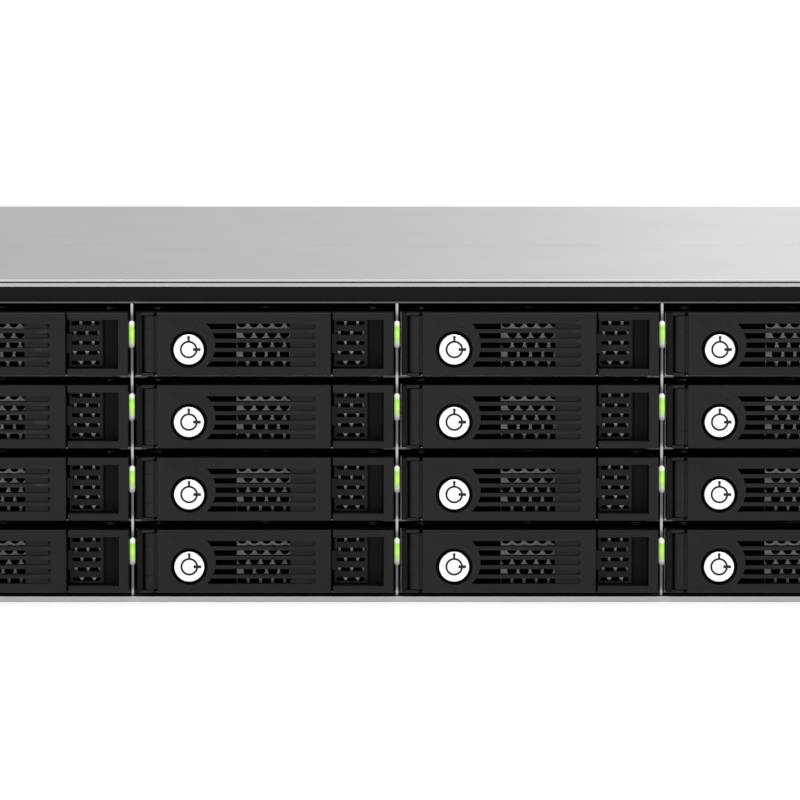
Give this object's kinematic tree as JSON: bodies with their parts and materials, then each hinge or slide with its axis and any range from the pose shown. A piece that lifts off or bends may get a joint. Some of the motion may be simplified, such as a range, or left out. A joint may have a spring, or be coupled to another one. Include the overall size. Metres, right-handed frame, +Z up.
{
  "type": "rack network attached storage",
  "caption": "Rack-mount network attached storage: satin steel case with lockable black drive trays at the front, power supplies, fans and ports at the rear.",
  "frame": {"origin": "bottom centre of the whole object, on the underside of the base pan", "axes": "+Z up, -Y the front with the drive bays, +X to the right as seen from the front"},
  "size_m": [0.4826, 0.5688, 0.132],
  "materials": {
    "satin_steel": "satin brushed steel sheet",
    "zinc_steel": "zinc plated steel sheet",
    "black_steel": "black powder coat",
    "charcoal_plastic": "moulded ABS, fine satin texture",
    "lock_chrome": "bright nickel plate",
    "green_lens": "clear light pipe lit green",
    "drive_and_tray": "cast drive case in a metal sled with a black front",
    "supply_case": "plated sheet case",
    "green_board": "solder-masked circuit board",
    "fin_aluminium": "extruded fins",
    "fan_black": "moulded PBT",
    "port_metal": "plated port shells",
    "screw_steel": "plated screw heads"
  },
  "bodies": {
    "chassis": {"base_pan": "satin_steel", "front_top_panel": "satin_steel", "header_bar": "black_steel", "bay_dividers": "zinc_steel", "light_pipes": "green_lens", "ear_left": "black_steel", "ear_right": "black_steel", "rear_panel": "zinc_steel", "port_blocks": "port_metal", "slot_brackets": "zinc_steel", "psu_cage": "zinc_steel", "case_screws": "screw_steel", "backplane": "green_board", "fan_frames": "fan_black", "mainboard": "green_board", "cpu_heatsink": "fin_aluminium", "memory_modules": "green_board"},
    "rear_cover": {"rear_cover": "satin_steel"},
    "power_button": {"power_button": "charcoal_plastic"},
    "psu_lower": {"psu_lower": "supply_case"},
    "psu_upper": {"psu_upper": "supply_case"},
    "fan_rotor_1": {"fan_rotor_1": "fan_black"},
    "fan_rotor_2": {"fan_rotor_2": "fan_black"},
    "fan_rotor_3": {"fan_rotor_3": "fan_black"},
    "tray_c1r1": {"tray_c1r1": "drive_and_tray"},
    "handle_c1r1": {"handle_c1r1": "charcoal_plastic"},
    "tray_c1r2": {"tray_c1r2": "drive_and_tray"},
    "handle_c1r2": {"handle_c1r2": "charcoal_plastic"},
    "tray_c1r3": {"tray_c1r3": "drive_and_tray"},
    "handle_c1r3": {"handle_c1r3": "charcoal_plastic"},
    "tray_c1r4": {"tray_c1r4": "drive_and_tray"},
    "handle_c1r4": {"handle_c1r4": "charcoal_plastic"},
    "tray_c2r1": {"tray_c2r1": "drive_and_tray", "bezel_c2r1": "charcoal_plastic", "drive_c2r1": "drive_and_tray"},
    "handle_c2r1": {"handle_c2r1": "charcoal_plastic"},
    "tray_c2r2": {"tray_c2r2": "drive_and_tray"},
    "handle_c2r2": {"handle_c2r2": "charcoal_plastic"},
    "tray_c2r3": {"tray_c2r3": "drive_and_tray"},
    "handle_c2r3": {"handle_c2r3": "charcoal_plastic"},
    "tray_c2r4": {"tray_c2r4": "drive_and_tray"},
    "handle_c2r4": {"handle_c2r4": "charcoal_plastic"},
    "tray_c3r1": {"tray_c3r1": "drive_and_tray"},
    "handle_c3r1": {"handle_c3r1": "charcoal_plastic"},
    "tray_c3r2": {"tray_c3r2": "drive_and_tray"},
    "handle_c3r2": {"handle_c3r2": "charcoal_plastic"},
    "tray_c3r3": {"tray_c3r3": "drive_and_tray"},
    "handle_c3r3": {"handle_c3r3": "charcoal_plastic"},
    "tray_c3r4": {"tray_c3r4": "drive_and_tray"},
    "handle_c3r4": {"handle_c3r4": "charcoal_plastic"},
    "tray_c4r1": {"tray_c4r1": "drive_and_tray"},
    "handle_c4r1": {"handle_c4r1": "charcoal_plastic"},
    "tray_c4r2": {"tray_c4r2": "drive_and_tray"},
    "handle_c4r2": {"handle_c4r2": "charcoal_plastic"},
    "tray_c4r3": {"tray_c4r3": "drive_and_tray"},
    "handle_c4r3": {"handle_c4r3": "charcoal_plastic"},
    "tray_c4r4": {"tray_c4r4": "drive_and_tray"},
    "handle_c4r4": {"handle_c4r4": "charcoal_plastic"},
    "latch_c2r1": {"latch_c2r1": "charcoal_plastic"},
    "lock_c2r1": {"lock_c2r1": "lock_chrome"}
  },
  "joints": [
    {"name": "power_press", "type": "slide", "parent": "chassis", "child": "power_button", "axis": [0, 1, 0], "range_m": [0, 0.001], "stiffness_N_per_m": 300},
    {"name": "catch_c2r1", "type": "slide", "parent": "tray_c2r1", "child": "latch_c2r1", "axis": [1, 0, 0], "range_m": [0, 0.0025], "stiffness_N_per_m": 200},
    {"name": "key_c2r1", "type": "hinge", "parent": "handle_c2r1", "child": "lock_c2r1", "pos_m": [-0.085, -0.2836, 0.10386], "axis": [0, -1, 0], "range_deg": [0, 90]},
    {"name": "lever_c2r1", "type": "hinge", "parent": "tray_c2r1", "child": "handle_c2r1", "pos_m": [-0.1008, -0.281, 0.10593], "axis": [0, 0, -1], "range_deg": [0, 80]},
    {"name": "slide_c2r1", "type": "slide", "parent": "chassis", "child": "tray_c2r1", "axis": [0, -1, 0], "range_m": [0, 0.18]},
    {"name": "cover_slide", "type": "slide", "parent": "chassis", "child": "rear_cover", "axis": [0, 1, 0], "range_m": [0, 0.32]},
    {"name": "supply_lower_slide", "type": "slide", "parent": "chassis", "child": "psu_lower", "axis": [0, 1, 0], "range_m": [0, 0.2]},
    {"name": "supply_upper_slide", "type": "slide", "parent": "chassis", "child": "psu_upper", "axis": [0, 1, 0], "range_m": [0, 0.2]},
    {"name": "fan_spin_1", "type": "hinge", "parent": "chassis", "child": "fan_rotor_1", "pos_m": [-0.138, -0.0766, 0.0612], "axis": [0, 1, 0], "continuous": true},
    {"name": "fan_spin_2", "type": "hinge", "parent": "chassis", "child": "fan_rotor_2", "pos_m": [0, -0.0766, 0.0612], "axis": [0, 1, 0], "continuous": true},
    {"name": "fan_spin_3", "type": "hinge", "parent": "chassis", "child": "fan_rotor_3", "pos_m": [0.138, -0.0766, 0.0612], "axis": [0, 1, 0], "continuous": true},
    {"name": "lever_c1r1", "type": "hinge", "parent": "tray_c1r1", "child": "handle_c1r1", "pos_m": [-0.2092, -0.281, 0.10593], "axis": [0, 0, -1], "range_deg": [0, 80]},
    {"name": "slide_c1r1", "type": "slide", "parent": "chassis", "child": "tray_c1r1", "axis": [0, -1, 0], "range_m": [0, 0.18]},
    {"name": "lever_c1r2", "type": "hinge", "parent": "tray_c1r2", "child": "handle_c1r2", "pos_m": [-0.2092, -0.281, 0.07621], "axis": [0, 0, -1], "range_deg": [0, 80]},
    {"name": "slide_c1r2", "type": "slide", "parent": "chassis", "child": "tray_c1r2", "axis": [0, -1, 0], "range_m": [0, 0.18]},
    {"name": "lever_c1r3", "type": "hinge", "parent": "tray_c1r3", "child": "handle_c1r3", "pos_m": [-0.2092, -0.281, 0.04649], "axis": [0, 0, -1], "range_deg": [0, 80]},
    {"name": "slide_c1r3", "type": "slide", "parent": "chassis", "child": "tray_c1r3", "axis": [0, -1, 0], "range_m": [0, 0.18]},
    {"name": "lever_c1r4", "type": "hinge", "parent": "tray_c1r4", "child": "handle_c1r4", "pos_m": [-0.2092, -0.281, 0.01677], "axis": [0, 0, -1], "range_deg": [0, 80]},
    {"name": "slide_c1r4", "type": "slide", "parent": "chassis", "child": "tray_c1r4", "axis": [0, -1, 0], "range_m": [0, 0.18]},
    {"name": "lever_c2r2", "type": "hinge", "parent": "tray_c2r2", "child": "handle_c2r2", "pos_m": [-0.1008, -0.281, 0.07621], "axis": [0, 0, -1], "range_deg": [0, 80]},
    {"name": "slide_c2r2", "type": "slide", "parent": "chassis", "child": "tray_c2r2", "axis": [0, -1, 0], "range_m": [0, 0.18]},
    {"name": "lever_c2r3", "type": "hinge", "parent": "tray_c2r3", "child": "handle_c2r3", "pos_m": [-0.1008, -0.281, 0.04649], "axis": [0, 0, -1], "range_deg": [0, 80]},
    {"name": "slide_c2r3", "type": "slide", "parent": "chassis", "child": "tray_c2r3", "axis": [0, -1, 0], "range_m": [0, 0.18]},
    {"name": "lever_c2r4", "type": "hinge", "parent": "tray_c2r4", "child": "handle_c2r4", "pos_m": [-0.1008, -0.281, 0.01677], "axis": [0, 0, -1], "range_deg": [0, 80]},
    {"name": "slide_c2r4", "type": "slide", "parent": "chassis", "child": "tray_c2r4", "axis": [0, -1, 0], "range_m": [0, 0.18]},
    {"name": "lever_c3r1", "type": "hinge", "parent": "tray_c3r1", "child": "handle_c3r1", "pos_m": [0.0076, -0.281, 0.10593], "axis": [0, 0, -1], "range_deg": [0, 80]},
    {"name": "slide_c3r1", "type": "slide", "parent": "chassis", "child": "tray_c3r1", "axis": [0, -1, 0], "range_m": [0, 0.18]},
    {"name": "lever_c3r2", "type": "hinge", "parent": "tray_c3r2", "child": "handle_c3r2", "pos_m": [0.0076, -0.281, 0.07621], "axis": [0, 0, -1], "range_deg": [0, 80]},
    {"name": "slide_c3r2", "type": "slide", "parent": "chassis", "child": "tray_c3r2", "axis": [0, -1, 0], "range_m": [0, 0.18]},
    {"name": "lever_c3r3", "type": "hinge", "parent": "tray_c3r3", "child": "handle_c3r3", "pos_m": [0.0076, -0.281, 0.04649], "axis": [0, 0, -1], "range_deg": [0, 80]},
    {"name": "slide_c3r3", "type": "slide", "parent": "chassis", "child": "tray_c3r3", "axis": [0, -1, 0], "range_m": [0, 0.18]},
    {"name": "lever_c3r4", "type": "hinge", "parent": "tray_c3r4", "child": "handle_c3r4", "pos_m": [0.0076, -0.281, 0.01677], "axis": [0, 0, -1], "range_deg": [0, 80]},
    {"name": "slide_c3r4", "type": "slide", "parent": "chassis", "child": "tray_c3r4", "axis": [0, -1, 0], "range_m": [0, 0.18]},
    {"name": "lever_c4r1", "type": "hinge", "parent": "tray_c4r1", "child": "handle_c4r1", "pos_m": [0.116, -0.281, 0.10593], "axis": [0, 0, -1], "range_deg": [0, 80]},
    {"name": "slide_c4r1", "type": "slide", "parent": "chassis", "child": "tray_c4r1", "axis": [0, -1, 0], "range_m": [0, 0.18]},
    {"name": "lever_c4r2", "type": "hinge", "parent": "tray_c4r2", "child": "handle_c4r2", "pos_m": [0.116, -0.281, 0.07621], "axis": [0, 0, -1], "range_deg": [0, 80]},
    {"name": "slide_c4r2", "type": "slide", "parent": "chassis", "child": "tray_c4r2", "axis": [0, -1, 0], "range_m": [0, 0.18]},
    {"name": "lever_c4r3", "type": "hinge", "parent": "tray_c4r3", "child": "handle_c4r3", "pos_m": [0.116, -0.281, 0.04649], "axis": [0, 0, -1], "range_deg": [0, 80]},
    {"name": "slide_c4r3", "type": "slide", "parent": "chassis", "child": "tray_c4r3", "axis": [0, -1, 0], "range_m": [0, 0.18]},
    {"name": "lever_c4r4", "type": "hinge", "parent": "tray_c4r4", "child": "handle_c4r4", "pos_m": [0.116, -0.281, 0.01677], "axis": [0, 0, -1], "range_deg": [0, 80]},
    {"name": "slide_c4r4", "type": "slide", "parent": "chassis", "child": "tray_c4r4", "axis": [0, -1, 0], "range_m": [0, 0.18]}
  ]
}
